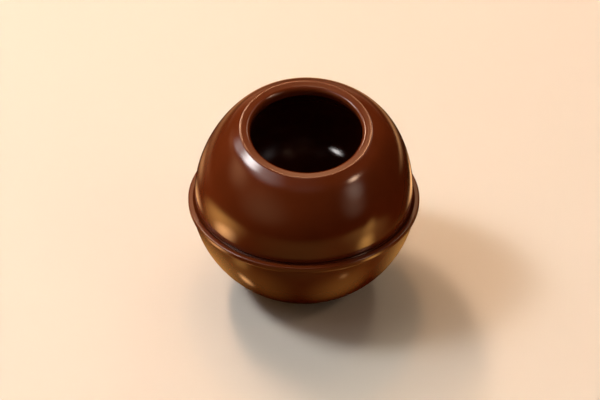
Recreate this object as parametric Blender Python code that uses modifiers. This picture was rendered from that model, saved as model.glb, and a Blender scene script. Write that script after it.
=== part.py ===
"""Chocolate truffle shell: a hollow moulded ball with a seam lip and a round filling mouth.

Units are metres, +Z is up and the origin is the centre of the flat spot that the shell
stands on.  The shell is one turned solid: a cup below the lip, a dome above it and a
raised ring round the mouth.  Above the lip the dome leans, and its fuller side bulges,
as hand-sized chocolate castings do.
"""

import math

import bpy
from mathutils import Matrix, Vector

MM = 0.001

# Cup: the lower half, part of a ball that is cut flat where it stands.
CUP_RADIUS = 12.75 * MM
CUP_CENTRE_HEIGHT = 12.13 * MM

# Lip: the seam band between the two mould halves.
LIP_RADIUS = 13.0 * MM
LIP_TOP = 11.39 * MM
LIP_THICKNESS = 0.62 * MM
LIP_EDGE_ROUNDING = 0.15 * MM
LIP_LEDGE_WIDTH = 0.52 * MM
LEDGE_ROUNDING = 0.06 * MM

# Crevice: the groove between the lip and the dome's foot.
CREVICE_RADIUS = 11.92 * MM
CREVICE_DEPTH = 0.36 * MM
CREVICE_ROUNDING = 0.05 * MM

# Dome: the upper half, a little taller than a half ball, which turns in at its foot.
DOME_RADIUS = 12.24 * MM
DOME_RISE = 12.52 * MM
DOME_CENTRE_HEIGHT = 12.16 * MM
DOME_FOOT_HEIGHT = 11.64 * MM
DOME_FOOT_ROUNDING = 0.06 * MM

# Shoulder and ring round the mouth, with heights above the centre of the dome.
SHOULDER_RADIUS = 8.4 * MM
SHOULDER_ROUNDING = 4.0 * MM
SHOULDER_REACH = 0.5 * MM
CREST_RADIUS = 7.3 * MM
CREST_HEIGHT = 9.76 * MM
CREST_ROUNDING = 0.4 * MM
MOUTH_RADIUS = 6.08 * MM
MOUTH_EDGE_HEIGHT = 9.62 * MM
MOUTH_ROUNDING = 0.5 * MM
NECK_FOOT_RADIUS = 6.3 * MM
NECK_FOOT_HEIGHT = 8.25 * MM
NECK_FOOT_ROUNDING = 0.6 * MM

# Hollow: an egg-shaped room, with walls of about 1.3 mm.
HOLLOW_RADIUS = 11.4 * MM
HOLLOW_DEPTH = 11.0 * MM
HOLLOW_RISE = 10.3 * MM

# Lean of the ring: forward is -Y and sideways is +X.
LEAN_FORWARD = math.radians(10.4)
LEAN_SIDEWAYS = math.radians(1.2)
RING_SHIFT = Vector((0.24 * MM, -1.51 * MM, 0.0))

# Fuller side of the dome: how far it swells, where, and how narrow the swelling is.
FULLER_SIDE_DIRECTION = math.radians(42.7)
FULLER_SIDE_SHARE = 0.047
FULLER_SIDE_NARROWNESS = 1.68
FULLER_SIDE_HEIGHT_POWER = 2.76

# Fineness of the turned mesh.
TURN_STEPS = 64
HOLLOW_POINTS = 9
DOME_POINTS = 11
CUP_POINTS = 10
ROUNDING_POINTS = 3

CHOCOLATE_COLOUR = (0.16, 0.034, 0.01, 1.0)
CHOCOLATE_ROUGHNESS = 0.2


def clear_scene():
    """Remove every object that the open file holds."""
    for scene_object in list(bpy.data.objects):
        bpy.data.objects.remove(scene_object, do_unlink=True)


def ellipse_arc(centre_height, semi_radius, semi_height, start, end, count):
    """Points of an ellipse about the axis; an angle of 0 is level and 90 degrees is up."""
    points = []
    for index in range(count):
        angle = start + (end - start) * index / (count - 1)
        radius = max(semi_radius * math.cos(angle), 0.0)
        height = centre_height + semi_height * math.sin(angle)
        points.append((radius, height))
    return points


def rounded_corner(before, corner, after, rounding, count):
    """Points of the arc that rounds a corner between two straight runs."""
    corner = Vector(corner)
    to_before = (Vector(before) - corner).normalized()
    to_after = (Vector(after) - corner).normalized()
    half_angle = to_before.angle(to_after) / 2.0
    setback = rounding / math.tan(half_angle)
    centre = corner + (to_before + to_after).normalized() * rounding / math.sin(half_angle)
    first = corner + to_before * setback - centre
    last = corner + to_after * setback - centre
    sweep = first.angle(last)
    points = []
    for index in range(count):
        share = index / (count - 1)
        spoke = first * math.sin((1.0 - share) * sweep) + last * math.sin(share * sweep)
        spoke /= math.sin(sweep)
        points.append(tuple(centre + spoke))
    return points


def rounded_run(before, corners, after):
    """Points along a run of corners, each given as (radius, height, rounding)."""
    stations = [before] + [corner[:2] for corner in corners] + [after]
    points = []
    for index, (radius, height, rounding) in enumerate(corners):
        points += rounded_corner(
            stations[index], (radius, height), stations[index + 2], rounding, ROUNDING_POINTS)
    return points


def hollow_profile():
    """The hollow's wall, from the axis at its floor up to the foot of the neck."""
    floor_to_belt = ellipse_arc(
        CUP_CENTRE_HEIGHT, HOLLOW_RADIUS, HOLLOW_DEPTH,
        -math.pi / 2.0, 0.0, HOLLOW_POINTS)
    ceiling_angle = math.acos((NECK_FOOT_RADIUS + NECK_FOOT_ROUNDING) / HOLLOW_RADIUS)
    belt_to_ceiling = ellipse_arc(
        CUP_CENTRE_HEIGHT, HOLLOW_RADIUS, HOLLOW_RISE,
        0.0, ceiling_angle, HOLLOW_POINTS)
    return floor_to_belt + belt_to_ceiling[1:]


def dome_profile():
    """The dome's outer wall, from under the shoulder down to the start of its foot."""
    shoulder_angle = math.acos((SHOULDER_RADIUS + SHOULDER_REACH) / DOME_RADIUS)
    foot_start = DOME_FOOT_HEIGHT + DOME_FOOT_ROUNDING
    foot_angle = math.asin((foot_start - DOME_CENTRE_HEIGHT) / DOME_RISE)
    return ellipse_arc(
        DOME_CENTRE_HEIGHT, DOME_RADIUS, DOME_RISE, shoulder_angle, foot_angle, DOME_POINTS)


def ring_profile(ceiling_end, dome_start):
    """The neck, the mouth's edge, the ring's crest and the shoulder that eases into the dome."""
    shoulder_rise = DOME_RISE * math.sqrt(1.0 - (SHOULDER_RADIUS / DOME_RADIUS) ** 2)
    corners = [
        (NECK_FOOT_RADIUS, NECK_FOOT_HEIGHT, NECK_FOOT_ROUNDING),
        (MOUTH_RADIUS, MOUTH_EDGE_HEIGHT, MOUTH_ROUNDING),
        (CREST_RADIUS, CREST_HEIGHT, CREST_ROUNDING),
        (SHOULDER_RADIUS, shoulder_rise, SHOULDER_ROUNDING),
    ]
    raised = [(radius, DOME_CENTRE_HEIGHT + height, rounding)
              for radius, height, rounding in corners]
    return rounded_run(ceiling_end, raised, dome_start)


def lip_profile(dome_end, cup_start):
    """The dome's foot, the crevice, the ledge and the rounded band of the lip."""
    lip_bottom = LIP_TOP - LIP_THICKNESS
    corners = [
        (dome_end[0], DOME_FOOT_HEIGHT, DOME_FOOT_ROUNDING),
        (CREVICE_RADIUS, LIP_TOP - CREVICE_DEPTH, CREVICE_ROUNDING),
        (LIP_RADIUS - LIP_LEDGE_WIDTH, LIP_TOP, LEDGE_ROUNDING),
        (LIP_RADIUS, LIP_TOP, LIP_EDGE_ROUNDING),
        (LIP_RADIUS, lip_bottom, LIP_EDGE_ROUNDING),
    ]
    return rounded_run(dome_end, corners, cup_start)


def cup_profile():
    """The cup's outer wall, from under the lip to the axis at the flat spot."""
    under_lip = math.asin((LIP_TOP - LIP_THICKNESS - CUP_CENTRE_HEIGHT) / CUP_RADIUS)
    flat_edge = math.asin(-CUP_CENTRE_HEIGHT / CUP_RADIUS)
    wall = ellipse_arc(
        CUP_CENTRE_HEIGHT, CUP_RADIUS, CUP_RADIUS, under_lip, flat_edge, CUP_POINTS)
    return wall + [(0.0, 0.0)]


def shell_profile():
    """The whole section at +X, from the hollow's floor round the ring to the flat spot."""
    hollow = hollow_profile()
    dome = dome_profile()
    cup = cup_profile()
    ring = ring_profile(hollow[-1], dome[0])
    lip = lip_profile(dome[-1], cup[0])
    return hollow + ring + dome + lip + cup


def turned_mesh(name, profile):
    """A closed mesh turned about Z from a profile of (radius, height) points."""
    section = bpy.data.meshes.new(name + "_section")
    vertices = [(radius, 0.0, height) for radius, height in profile]
    edges = [(index, index + 1) for index in range(len(profile) - 1)]
    section.from_pydata(vertices, edges, [])
    turned = bpy.data.objects.new(name + "_turned", section)
    bpy.context.scene.collection.objects.link(turned)
    screw = turned.modifiers.new("turn", "SCREW")
    screw.axis = "Z"
    screw.angle = 2.0 * math.pi
    screw.steps = TURN_STEPS
    screw.render_steps = TURN_STEPS
    screw.use_merge_vertices = True
    screw.merge_threshold = 0.002 * MM
    depsgraph = bpy.context.evaluated_depsgraph_get()
    mesh = bpy.data.meshes.new_from_object(turned.evaluated_get(depsgraph))
    mesh.name = name
    bpy.data.objects.remove(turned, do_unlink=True)
    return mesh


def smooth_share(value, low, high):
    """A share that eases from 0 at low to 1 at high."""
    share = min(max((value - low) / (high - low), 0.0), 1.0)
    return share * share * (3.0 - 2.0 * share)


def leaned(point):
    """Move a point of the upright shell to its place in the leaning, uneven one."""
    ring_height = DOME_CENTRE_HEIGHT + CREST_HEIGHT
    lean = smooth_share(point.z, LIP_TOP, ring_height)
    rise = min(max((point.z - LIP_TOP) / (ring_height - LIP_TOP), 0.0), 1.0)
    aside = math.cos(math.atan2(point.y, point.x) - FULLER_SIDE_DIRECTION) - 1.0
    swell = FULLER_SIDE_SHARE * math.exp(FULLER_SIDE_NARROWNESS * aside)
    swell *= math.sin(math.pi * rise ** FULLER_SIDE_HEIGHT_POWER)
    level = Vector((point.x, point.y, 0.0)) * (1.0 + swell)
    turn = Matrix.Rotation(LEAN_SIDEWAYS * lean, 3, "Y")
    turn = turn @ Matrix.Rotation(LEAN_FORWARD * lean, 3, "X")
    return turn @ level + RING_SHIFT * lean + Vector((0.0, 0.0, point.z))


def chocolate_material():
    """Glossy dark chocolate."""
    material = bpy.data.materials.new("dark_chocolate")
    material.use_nodes = True
    shader = material.node_tree.nodes["Principled BSDF"]
    shader.inputs["Base Color"].default_value = CHOCOLATE_COLOUR
    shader.inputs["Roughness"].default_value = CHOCOLATE_ROUGHNESS
    shader.inputs["Metallic"].default_value = 0.0
    return material


def build_shell(collection):
    """The truffle shell, one solid piece of chocolate."""
    name = "truffle_shell"
    mesh = turned_mesh(name, shell_profile())
    for vertex in mesh.vertices:
        vertex.co = leaned(vertex.co)
    mesh.shade_smooth()
    mesh.set_sharp_from_angle(angle=math.radians(40.0))
    mesh.materials.append(chocolate_material())
    shell = bpy.data.objects.new(name, mesh)
    collection.objects.link(shell)
    return shell


def main():
    clear_scene()
    parts = bpy.data.collections.new("chocolate_truffle_shell")
    bpy.context.scene.collection.children.link(parts)
    build_shell(parts)


main()
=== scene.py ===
"""Looks of the chocolate truffle shell: the fine turned shell, its chocolate, and a studio.

Lengths are metres in the CAD frame: +Z is up, and the camera stands on the -Y side.
"""

import math

import bpy
import numpy as np
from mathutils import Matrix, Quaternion, Vector


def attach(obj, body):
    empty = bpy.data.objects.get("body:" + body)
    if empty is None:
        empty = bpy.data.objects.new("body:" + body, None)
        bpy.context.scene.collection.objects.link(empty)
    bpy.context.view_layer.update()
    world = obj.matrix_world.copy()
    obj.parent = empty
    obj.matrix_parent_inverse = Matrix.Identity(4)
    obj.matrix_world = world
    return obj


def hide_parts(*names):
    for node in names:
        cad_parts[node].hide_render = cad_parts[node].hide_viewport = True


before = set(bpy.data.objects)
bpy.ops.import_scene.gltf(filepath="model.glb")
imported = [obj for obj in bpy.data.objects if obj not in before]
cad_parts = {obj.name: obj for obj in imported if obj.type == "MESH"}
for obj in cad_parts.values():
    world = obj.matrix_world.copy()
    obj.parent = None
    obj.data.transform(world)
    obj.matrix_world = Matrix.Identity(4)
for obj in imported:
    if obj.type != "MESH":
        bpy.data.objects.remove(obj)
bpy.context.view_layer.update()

MM = 0.001
NODE = "truffle_shell"

# Cup: the lower half, part of a ball that is cut flat where it stands.
CUP_RADIUS = 12.75 * MM
CUP_CENTRE_HEIGHT = 12.13 * MM

# Lip: the seam band between the two mould halves.
LIP_RADIUS = 13.0 * MM
LIP_TOP = 11.39 * MM
LIP_THICKNESS = 0.62 * MM
LIP_EDGE_ROUNDING = 0.15 * MM
LIP_LEDGE_WIDTH = 0.52 * MM
LEDGE_ROUNDING = 0.06 * MM

# Crevice: the groove between the lip and the dome's foot.
CREVICE_RADIUS = 11.92 * MM
CREVICE_DEPTH = 0.36 * MM
CREVICE_ROUNDING = 0.05 * MM

# Dome: the upper half, a little taller than a half ball.
DOME_RADIUS = 12.24 * MM
DOME_RISE = 12.52 * MM
DOME_CENTRE_HEIGHT = 12.16 * MM
DOME_FOOT_HEIGHT = 11.64 * MM
DOME_FOOT_ROUNDING = 0.06 * MM

# Shoulder, ring and neck, with heights above the centre of the dome.
SHOULDER_RADIUS = 8.4 * MM
SHOULDER_ROUNDING = 4.0 * MM
SHOULDER_REACH = 0.5 * MM
CREST_RADIUS = 7.3 * MM
CREST_HEIGHT = 9.76 * MM
CREST_ROUNDING = 0.4 * MM
MOUTH_RADIUS = 6.08 * MM
MOUTH_EDGE_HEIGHT = 9.62 * MM
MOUTH_ROUNDING = 0.5 * MM
NECK_FOOT_RADIUS = 6.3 * MM
NECK_FOOT_HEIGHT = 8.25 * MM
NECK_FOOT_ROUNDING = 0.6 * MM

# Hollow: an egg-shaped room, with walls of about 1.3 mm.
HOLLOW_RADIUS = 11.4 * MM
HOLLOW_DEPTH = 11.0 * MM
HOLLOW_RISE = 10.3 * MM

# Lean of the ring towards the camera and to the right, and the dome's fuller side.
LEAN_FORWARD = math.radians(10.4)
LEAN_SIDEWAYS = math.radians(1.2)
RING_SHIFT = (0.24 * MM, -1.51 * MM)
FULLER_SIDE_DIRECTION = math.radians(42.7)
FULLER_SIDE_SHARE = 0.047
FULLER_SIDE_NARROWNESS = 1.68
FULLER_SIDE_HEIGHT_POWER = 2.76

# Fineness of the turned mesh: steps round the axis, and points along each run of the section.
TURN_STEPS = 384
MERGE_DISTANCE = 0.002 * MM
HOLLOW_POINTS = 22
DOME_POINTS = 50
CUP_POINTS = 36
FLAT_POINTS = 4
ROUNDING_POINTS = 10

# Chocolate: its colour between two close browns, its gloss, and a very fine skin.
CHOCOLATE_IOR = 1.46
DEEP_BROWN = (0.108, 0.0222, 0.0052, 1.0)
LIGHT_BROWN = (0.126, 0.0258, 0.0064, 1.0)
CLOUDING_SCALE = 260.0
CLOUDING_DETAIL = 3.0
ROUGHNESS_RANGE = (0.13, 0.17)
SMEAR_SCALE = 420.0
SMEAR_DETAIL = 4.0
NOISE_LOW = 0.3
NOISE_HIGH = 0.7
SKIN_SCALE = 3500.0
SKIN_DETAIL = 2.0
SKIN_STRENGTH = 0.06
SKIN_DEPTH = 0.02 * MM

# Tabletop.
TABLETOP_COLOUR = (0.5, 0.5, 0.46, 1.0)
TABLETOP_ROUGHNESS = 0.6
TABLETOP_SIZE = 4.0

# Camera: a long lens that looks down on the shell, with its picture measured in pixels.
IMAGE_WIDTH = 600.0
IMAGE_HEIGHT = 400.0
LIP_CENTRE_PIXEL = (303.82, 197.58)
PIXELS_PER_METRE = 8891.0
CAMERA_AZIMUTH = -90.0
CAMERA_ELEVATION = 38.15
CAMERA_DISTANCE = 374.0 * MM
SENSOR_WIDTH = 36.0
NEAR_CLIP = 10.0 * MM
FAR_CLIP = 10.0

# Softboxes: azimuth, elevation, width, height and roll in degrees, then radiance and colour.
SOFTBOX_DISTANCE = 400.0 * MM
COOL_WHITE = (1.0, 0.95, 0.93)
SOFT_WHITE = (1.0, 0.8, 0.65)
WARM_WHITE = (1.0, 0.76, 0.52)
PEACH = (1.0, 0.66, 0.45)
AMBER = (1.0, 0.55, 0.28)
SOFTBOXES = [
    ("back", 90, 44, 38, 32, 0, 3.4, AMBER),
    ("back_high", 100, 74, 40, 24, 0, 1.4, AMBER),
    ("back_low", 95, 8, 90, 24, 0, 0.8, AMBER),
    ("crest_ring", 90, 57.5, 9, 4, 0, 130.0, AMBER),
    ("crest_left", 123, 48, 34, 10, 48, 56.0, PEACH),
    ("crest_right", 54, 47, 26, 10, -40, 14.0, WARM_WHITE),
    ("crest_top", 95, 84, 22, 10, 0, 9.0, WARM_WHITE),
    ("back_left", 150, 62, 30, 20, 0, 1.2, AMBER),
    ("back_left_low", 150, 26, 34, 24, 0, 0.8, AMBER),
    ("right_high", 30, 56, 30, 30, 0, 1.3, SOFT_WHITE),
    ("left", -178, 26, 44, 36, 0, 2.0, AMBER),
    ("key", 177, 52, 29, 17, 28, 34.0, COOL_WHITE),
    ("key_tail", 157, 40, 24, 15, 34, 5.0, COOL_WHITE),
    ("key_halo", -158, 56, 50, 38, 8, 2.6, COOL_WHITE),
    ("right_band", -38, 18, 34, 50, 0, 1.0, PEACH),
    ("right_band_high", -31, 31, 26, 30, 0, 2.2, SOFT_WHITE),
    ("warm_right", -22, 45, 15, 13, 0, 26.0, PEACH),
    ("front_left", -135, 16, 70, 56, 0, 0.75, AMBER),
    ("front_top", -90, 58, 50, 34, 0, 0.2, COOL_WHITE),
]

# Glints of the table: place and size in millimetres on the tabletop, turn in degrees,
# radiance and colour. Each lies a step above the one before, so that none hides another.
TABLE_GLINT_HEIGHT = 0.05 * MM
TABLE_GLINT_STEP = 0.01 * MM
BRIGHT_GOLD = (1.0, 0.5, 0.2)
GOLD = (1.0, 0.48, 0.12)
DEEP_GOLD = (1.0, 0.42, 0.08)
TABLE_GLINTS = [
    ("glint_left", (-26, -8), (14, 16), 0, 8.5, BRIGHT_GOLD),
    ("glint_left_wide", (-38, -8), (40, 44), 0, 5.0, GOLD),
    ("glint_right", (20, -14.5), (13, 9.5), -8, 4.8, GOLD),
    ("glint_right_wide", (29, -20), (36, 38), 0, 1.5, GOLD),
    ("streak_right", (38, -21), (56, 12), -18, 2.8, GOLD),
    ("glow_left", (-14, -3), (18, 24), 0, 0.98, GOLD),
    ("glow_front_left", (-9, -12), (20, 14), 0, 0.5, DEEP_GOLD),
    ("glow_right", (17, 0), (18, 24), 0, 0.95, GOLD),
    ("glow_front_right", (8, -12), (20, 13), 0, 0.8, DEEP_GOLD),
    ("cup_glint_left", (-9.4, -7.9), (5, 2.5), 0, 4.2, BRIGHT_GOLD),
    ("cup_glint_right", (8.4, -14), (3, 2), 0, 2.6, BRIGHT_GOLD),
    ("lip_glint_left", (-15, -12), (8, 8), 0, 2.2, GOLD),
    ("edge_right", (21, 18), (8, 26), 0, 3.4, BRIGHT_GOLD),
    ("edge_left", (-21, 12), (12, 18), 0, 2.2, BRIGHT_GOLD),
    ("edge_left_far", (-30, 28), (26, 26), 0, 1.3, BRIGHT_GOLD),
    ("table_back", (0, 70), (160, 80), 0, 1.0, BRIGHT_GOLD),
    ("table_right", (70, 70), (90, 90), 0, 2.0, BRIGHT_GOLD),
    ("table_left", (-60, 50), (80, 80), 0, 0.5, BRIGHT_GOLD),
    ("table_front", (0, -28), (80, 36), 0, 0.5, GOLD),
]

# A small lamp in the hollow, close to the far wall, which mirrors it as one slanting streak.
HOLLOW_LAMP_PLACE = (2.3 * MM, 8.44 * MM, 9.14 * MM)
HOLLOW_LAMP_AIM = (3.78 * MM, 10.4 * MM, 9.62 * MM)
HOLLOW_LAMP_SIZE = (1.45 * MM, 0.12 * MM)
HOLLOW_LAMP_ROLL = math.radians(-21.0)
HOLLOW_LAMP_SPREAD = math.radians(30.0)
HOLLOW_LAMP_RADIANCE = 2.0

# A wide lamp for the tabletop alone.
TABLE_LAMP_COLOUR = (1.0, 1.0, 1.0)
TABLE_LAMP_HEIGHT = 900.0 * MM
TABLE_LAMP_SIZE = (900.0 * MM, 900.0 * MM)
TABLE_LAMP_RADIANCE = 0.1


# ---------------------------------------------------------------- shape

def ellipse_arc(centre_height, semi_radius, semi_height, start, end, count):
    """Points of an ellipse about the axis; an angle of 0 is level and 90 degrees is up."""
    angles = np.linspace(start, end, count)
    radii = np.maximum(semi_radius * np.cos(angles), 0.0)
    return list(zip(radii, centre_height + semi_height * np.sin(angles)))


def rounded_corner(before, corner, after, rounding, count):
    """Points of the arc that rounds a corner between two straight runs."""
    corner = Vector(corner)
    to_before = (Vector(before) - corner).normalized()
    to_after = (Vector(after) - corner).normalized()
    half_angle = to_before.angle(to_after) / 2.0
    setback = rounding / math.tan(half_angle)
    centre = corner + (to_before + to_after).normalized() * rounding / math.sin(half_angle)
    first = corner + to_before * setback - centre
    last = corner + to_after * setback - centre
    sweep = first.angle(last)
    points = []
    for share in np.linspace(0.0, 1.0, count):
        spoke = first * math.sin((1.0 - share) * sweep) + last * math.sin(share * sweep)
        points.append(tuple(centre + spoke / math.sin(sweep)))
    return points


def rounded_run(before, corners, after):
    """Points along a run of corners, each given as (radius, height, rounding)."""
    stations = [before] + [corner[:2] for corner in corners] + [after]
    points = []
    for index, (radius, height, rounding) in enumerate(corners):
        arc = rounded_corner(
            stations[index], (radius, height), stations[index + 2], rounding, ROUNDING_POINTS)
        start = points[-1] if points else before
        for share in np.linspace(0.0, 1.0, FLAT_POINTS)[1:-1]:
            points.append(tuple(Vector(start).lerp(Vector(arc[0]), share)))
        points += arc
    return points


def shell_profile():
    """The whole section at +X, from the hollow's floor round the ring to the flat spot."""
    ceiling_angle = math.acos((NECK_FOOT_RADIUS + NECK_FOOT_ROUNDING) / HOLLOW_RADIUS)
    hollow = ellipse_arc(
        CUP_CENTRE_HEIGHT, HOLLOW_RADIUS, HOLLOW_DEPTH, -math.pi / 2.0, 0.0, HOLLOW_POINTS)
    hollow += ellipse_arc(
        CUP_CENTRE_HEIGHT, HOLLOW_RADIUS, HOLLOW_RISE, 0.0, ceiling_angle, HOLLOW_POINTS)[1:]

    shoulder_angle = math.acos((SHOULDER_RADIUS + SHOULDER_REACH) / DOME_RADIUS)
    foot_angle = math.asin((DOME_FOOT_HEIGHT + DOME_FOOT_ROUNDING - DOME_CENTRE_HEIGHT) / DOME_RISE)
    dome = ellipse_arc(
        DOME_CENTRE_HEIGHT, DOME_RADIUS, DOME_RISE, shoulder_angle, foot_angle, DOME_POINTS)

    under_lip = math.asin((LIP_TOP - LIP_THICKNESS - CUP_CENTRE_HEIGHT) / CUP_RADIUS)
    flat_edge = math.asin(-CUP_CENTRE_HEIGHT / CUP_RADIUS)
    cup = ellipse_arc(
        CUP_CENTRE_HEIGHT, CUP_RADIUS, CUP_RADIUS, under_lip, flat_edge, CUP_POINTS)

    shoulder_rise = DOME_RISE * math.sqrt(1.0 - (SHOULDER_RADIUS / DOME_RADIUS) ** 2)
    ring = [
        (NECK_FOOT_RADIUS, NECK_FOOT_HEIGHT, NECK_FOOT_ROUNDING),
        (MOUTH_RADIUS, MOUTH_EDGE_HEIGHT, MOUTH_ROUNDING),
        (CREST_RADIUS, CREST_HEIGHT, CREST_ROUNDING),
        (SHOULDER_RADIUS, shoulder_rise, SHOULDER_ROUNDING),
    ]
    ring = [(radius, DOME_CENTRE_HEIGHT + height, rounding) for radius, height, rounding in ring]

    lip = [
        (dome[-1][0], DOME_FOOT_HEIGHT, DOME_FOOT_ROUNDING),
        (CREVICE_RADIUS, LIP_TOP - CREVICE_DEPTH, CREVICE_ROUNDING),
        (LIP_RADIUS - LIP_LEDGE_WIDTH, LIP_TOP, LEDGE_ROUNDING),
        (LIP_RADIUS, LIP_TOP, LIP_EDGE_ROUNDING),
        (LIP_RADIUS, LIP_TOP - LIP_THICKNESS, LIP_EDGE_ROUNDING),
    ]
    return (hollow + rounded_run(hollow[-1], ring, dome[0]) + dome
            + rounded_run(dome[-1], lip, cup[0]) + cup + [(0.0, 0.0)])


def smooth_share(value, low, high):
    """A share that eases from 0 at low to 1 at high."""
    share = np.clip((value - low) / (high - low), 0.0, 1.0)
    return share * share * (3.0 - 2.0 * share)


def leaned(points):
    """Move the points of the upright shell to their places in the leaning, uneven one."""
    ring_height = DOME_CENTRE_HEIGHT + CREST_HEIGHT
    height = points[:, 2]
    lean = smooth_share(height, LIP_TOP, ring_height)
    rise = np.clip((height - LIP_TOP) / (ring_height - LIP_TOP), 0.0, 1.0)
    aside = np.cos(np.arctan2(points[:, 1], points[:, 0]) - FULLER_SIDE_DIRECTION) - 1.0
    swell = FULLER_SIDE_SHARE * np.exp(FULLER_SIDE_NARROWNESS * aside)
    swell = swell * np.sin(np.pi * rise ** FULLER_SIDE_HEIGHT_POWER)
    x = points[:, 0] * (1.0 + swell)
    y = points[:, 1] * (1.0 + swell)
    forward = LEAN_FORWARD * lean
    sideways = LEAN_SIDEWAYS * lean
    raised = y * np.sin(forward)
    return np.column_stack([
        x * np.cos(sideways) + raised * np.sin(sideways) + RING_SHIFT[0] * lean,
        y * np.cos(forward) + RING_SHIFT[1] * lean,
        height - x * np.sin(sideways) + raised * np.cos(sideways),
    ])


def turned_mesh(name, profile):
    """A closed mesh turned about Z from a profile of (radius, height) points."""
    section = bpy.data.meshes.new(name + "_section")
    vertices = [(radius, 0.0, height) for radius, height in profile]
    edges = [(index, index + 1) for index in range(len(profile) - 1)]
    section.from_pydata(vertices, edges, [])
    turned = bpy.data.objects.new(name + "_turned", section)
    bpy.context.scene.collection.objects.link(turned)
    screw = turned.modifiers.new("turn", "SCREW")
    screw.axis = "Z"
    screw.angle = 2.0 * math.pi
    screw.steps = TURN_STEPS
    screw.use_merge_vertices = True
    screw.merge_threshold = MERGE_DISTANCE
    depsgraph = bpy.context.evaluated_depsgraph_get()
    mesh = bpy.data.meshes.new_from_object(turned.evaluated_get(depsgraph))
    mesh.name = name
    bpy.data.objects.remove(turned, do_unlink=True)
    bpy.data.meshes.remove(section)
    return mesh


def build_shell():
    """The fine shell: the CAD solid's form with a smooth surface."""
    mesh = turned_mesh("chocolate_shell", shell_profile())
    points = np.empty(len(mesh.vertices) * 3)
    mesh.vertices.foreach_get("co", points)
    points = leaned(points.reshape(-1, 3))
    mesh.vertices.foreach_set("co", points.ravel())
    mesh.update()
    mesh.shade_smooth()
    shell = bpy.data.objects.new("chocolate_shell", mesh)
    bpy.context.scene.collection.objects.link(shell)
    return shell


# ---------------------------------------------------------------- materials

def noise(nodes, links, place, scale, detail):
    """A noise texture laid out in the piece's own coordinates."""
    texture = nodes.new("ShaderNodeTexNoise")
    texture.inputs["Scale"].default_value = scale
    texture.inputs["Detail"].default_value = detail
    links.new(place.outputs["Object"], texture.inputs["Vector"])
    return texture


def chocolate_material():
    """Glossy tempered chocolate: red-brown, with faint clouding and a fine skin."""
    material = bpy.data.materials.new("tempered_chocolate")
    material.use_nodes = True
    nodes = material.node_tree.nodes
    links = material.node_tree.links
    shader = nodes["Principled BSDF"]
    shader.inputs["IOR"].default_value = CHOCOLATE_IOR

    place = nodes.new("ShaderNodeTexCoord")

    clouding = noise(nodes, links, place, CLOUDING_SCALE, CLOUDING_DETAIL)
    colours = nodes.new("ShaderNodeValToRGB")
    colours.color_ramp.elements[0].position = NOISE_LOW
    colours.color_ramp.elements[0].color = DEEP_BROWN
    colours.color_ramp.elements[1].position = NOISE_HIGH
    colours.color_ramp.elements[1].color = LIGHT_BROWN
    links.new(clouding.outputs["Fac"], colours.inputs["Fac"])
    links.new(colours.outputs["Color"], shader.inputs["Base Color"])

    smears = noise(nodes, links, place, SMEAR_SCALE, SMEAR_DETAIL)
    gloss = nodes.new("ShaderNodeMapRange")
    gloss.inputs["From Min"].default_value = NOISE_LOW
    gloss.inputs["From Max"].default_value = NOISE_HIGH
    gloss.inputs["To Min"].default_value = ROUGHNESS_RANGE[0]
    gloss.inputs["To Max"].default_value = ROUGHNESS_RANGE[1]
    links.new(smears.outputs["Fac"], gloss.inputs["Value"])
    links.new(gloss.outputs["Result"], shader.inputs["Roughness"])

    skin = noise(nodes, links, place, SKIN_SCALE, SKIN_DETAIL)
    bump = nodes.new("ShaderNodeBump")
    bump.inputs["Strength"].default_value = SKIN_STRENGTH
    bump.inputs["Distance"].default_value = SKIN_DEPTH
    links.new(skin.outputs["Fac"], bump.inputs["Height"])
    links.new(bump.outputs["Normal"], shader.inputs["Normal"])
    return material


def floor_material():
    """A plain, pale straw-coloured tabletop."""
    material = bpy.data.materials.new("pale_tabletop")
    material.use_nodes = True
    shader = material.node_tree.nodes["Principled BSDF"]
    shader.inputs["Base Color"].default_value = TABLETOP_COLOUR
    shader.inputs["Roughness"].default_value = TABLETOP_ROUGHNESS
    return material


# ---------------------------------------------------------------- studio

def build_floor():
    """The tabletop that the shell stands on, kept out of the shell's reflections."""
    bpy.ops.mesh.primitive_plane_add(size=TABLETOP_SIZE, location=(0.0, 0.0, 0.0))
    floor = bpy.context.object
    floor.name = "tabletop"
    floor.data.materials.append(floor_material())
    floor.visible_diffuse = False
    floor.visible_glossy = False
    return floor


def direction_to(azimuth, elevation):
    """The unit vector towards an azimuth and elevation in degrees, +X being azimuth 0."""
    azimuth = math.radians(azimuth)
    elevation = math.radians(elevation)
    return Vector((
        math.cos(elevation) * math.cos(azimuth),
        math.cos(elevation) * math.sin(azimuth),
        math.sin(elevation),
    ))


def area_light(name, size, radiance, colour):
    """An oval light that fades towards its edge and that the camera doesn't see."""
    light = bpy.data.lights.new(name, "AREA")
    light.shape = "ELLIPSE"
    light.size = size[0]
    light.size_y = size[1]
    light.energy = radiance * math.pi * (math.pi / 4.0) * size[0] * size[1]
    light.color = colour
    fade_to_edge(light)
    lamp = bpy.data.objects.new(name, light)
    lamp.visible_camera = False
    bpy.context.scene.collection.objects.link(lamp)
    return lamp


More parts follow.
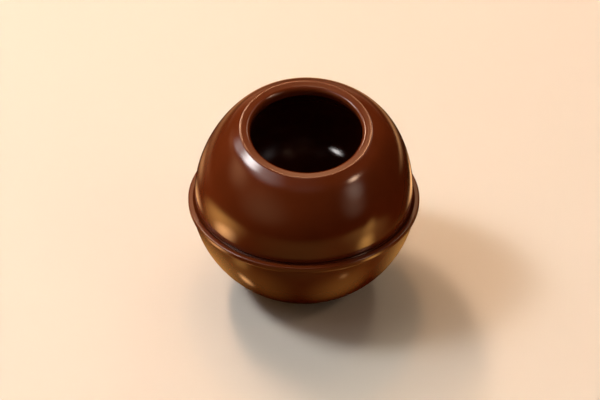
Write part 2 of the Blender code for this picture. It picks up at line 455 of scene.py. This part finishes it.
def fade_to_edge(light):
    """Give a light a bright middle and a soft edge, like a lamp behind a diffuser."""
    light.use_nodes = True
    nodes = light.node_tree.nodes
    links = light.node_tree.links
    place = nodes.new("ShaderNodeNewGeometry")
    from_middle = nodes.new("ShaderNodeVectorMath")
    from_middle.operation = "SUBTRACT"
    from_middle.inputs[1].default_value = (0.5, 0.5, 0.0)
    reach = nodes.new("ShaderNodeVectorMath")
    reach.operation = "LENGTH"
    fade = nodes.new("ShaderNodeMapRange")
    fade.interpolation_type = "SMOOTHSTEP"
    fade.inputs["From Min"].default_value = 0.5
    fade.inputs["From Max"].default_value = 0.0
    fade.inputs["To Min"].default_value = 0.0
    fade.inputs["To Max"].default_value = 1.0
    links.new(place.outputs["Parametric"], from_middle.inputs[0])
    links.new(from_middle.outputs["Vector"], reach.inputs[0])
    links.new(reach.outputs["Value"], fade.inputs["Value"])
    links.new(fade.outputs["Result"], nodes["Emission"].inputs["Strength"])


def softbox(name, azimuth, elevation, width, height, roll, radiance, colour):
    """A softbox that faces the shell, with its place and size as angles seen from the shell."""
    size = [2.0 * SOFTBOX_DISTANCE * math.tan(math.radians(angle) / 2.0)
            for angle in (width, height)]
    lamp = area_light(name, size, radiance, colour)
    outward = direction_to(azimuth, elevation)
    turn = outward.to_track_quat("Z", "Y") @ Quaternion((0.0, 0.0, 1.0), math.radians(roll))
    lamp.location = Vector((0.0, 0.0, LIP_TOP)) + outward * SOFTBOX_DISTANCE
    lamp.rotation_euler = turn.to_euler()


def table_glint(name, place, size, turn, radiance, colour, height, shell_only):
    """A patch of light that lies on the tabletop, shines up and lights the shell alone."""
    lamp = area_light(name, [side * MM for side in size], radiance, colour)
    lamp.location = (place[0] * MM, place[1] * MM, height)
    lamp.rotation_euler = (math.pi, 0.0, math.radians(turn))
    lamp.light_linking.receiver_collection = shell_only


def only_for(piece):
    """A collection that holds one piece, for lights that light it alone."""
    receivers = bpy.data.collections.new("light_for_" + piece.name)
    receivers.objects.link(piece)
    return receivers


def hollow_lamp(shell_only):
    """A small strip of light in the hollow, which the wall behind the mouth reflects."""
    lamp = area_light("hollow_lamp", HOLLOW_LAMP_SIZE, HOLLOW_LAMP_RADIANCE, COOL_WHITE)
    away = Vector(HOLLOW_LAMP_PLACE) - Vector(HOLLOW_LAMP_AIM)
    turn = away.to_track_quat("Z", "Y") @ Quaternion((0.0, 0.0, 1.0), HOLLOW_LAMP_ROLL)
    lamp.location = HOLLOW_LAMP_PLACE
    lamp.rotation_euler = turn.to_euler()
    lamp.data.spread = HOLLOW_LAMP_SPREAD
    lamp.light_linking.receiver_collection = shell_only


def table_lamp(floor):
    """A wide soft lamp that keeps the tabletop pale and even."""
    lamp = area_light("table_lamp", TABLE_LAMP_SIZE, TABLE_LAMP_RADIANCE, TABLE_LAMP_COLOUR)
    lamp.location = (0.0, 0.0, TABLE_LAMP_HEIGHT)
    lamp.light_linking.receiver_collection = only_for(floor)


def build_lights(shell, floor):
    """Soft light all round the shell, and the glow that the table gives it from below."""
    shell_only = only_for(shell)
    for softbox_values in SOFTBOXES:
        softbox(*softbox_values)
    hollow_lamp(shell_only)
    table_lamp(floor)
    for index, glint_values in enumerate(TABLE_GLINTS):
        height = TABLE_GLINT_HEIGHT + index * TABLE_GLINT_STEP
        table_glint(*glint_values, height, shell_only)
    world = bpy.context.scene.world or bpy.data.worlds.new("studio_air")
    bpy.context.scene.world = world
    world.use_nodes = True
    world.node_tree.nodes["Background"].inputs["Strength"].default_value = 0.0


def build_camera():
    """A long lens whose aim puts the lip's centre at its place in the picture."""
    back = direction_to(CAMERA_AZIMUTH, CAMERA_ELEVATION)
    right = Vector((1.0, 0.0, 0.0))
    up = back.cross(right)
    lip_centre = Vector((0.0, 0.0, LIP_TOP - LIP_THICKNESS / 2.0))
    offset_x = (LIP_CENTRE_PIXEL[0] - IMAGE_WIDTH / 2.0) / PIXELS_PER_METRE
    offset_y = (LIP_CENTRE_PIXEL[1] - IMAGE_HEIGHT / 2.0) / PIXELS_PER_METRE
    aim = lip_centre - right * offset_x + up * offset_y
    camera_data = bpy.data.cameras.new("camera")
    camera_data.sensor_width = SENSOR_WIDTH
    camera_data.lens = SENSOR_WIDTH * CAMERA_DISTANCE * PIXELS_PER_METRE / IMAGE_WIDTH
    camera_data.clip_start = NEAR_CLIP
    camera_data.clip_end = FAR_CLIP
    camera = bpy.data.objects.new("camera", camera_data)
    camera.location = aim + back * CAMERA_DISTANCE
    camera.rotation_euler = back.to_track_quat("Z", "Y").to_euler()
    bpy.context.scene.collection.objects.link(camera)
    bpy.context.scene.camera = camera


# ---------------------------------------------------------------- put together

shell = build_shell()
shell.data.materials.append(chocolate_material())
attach(shell, "root")
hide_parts(NODE)

floor = build_floor()
build_lights(shell, floor)
build_camera()
bpy.context.scene.view_settings.view_transform = "Standard"
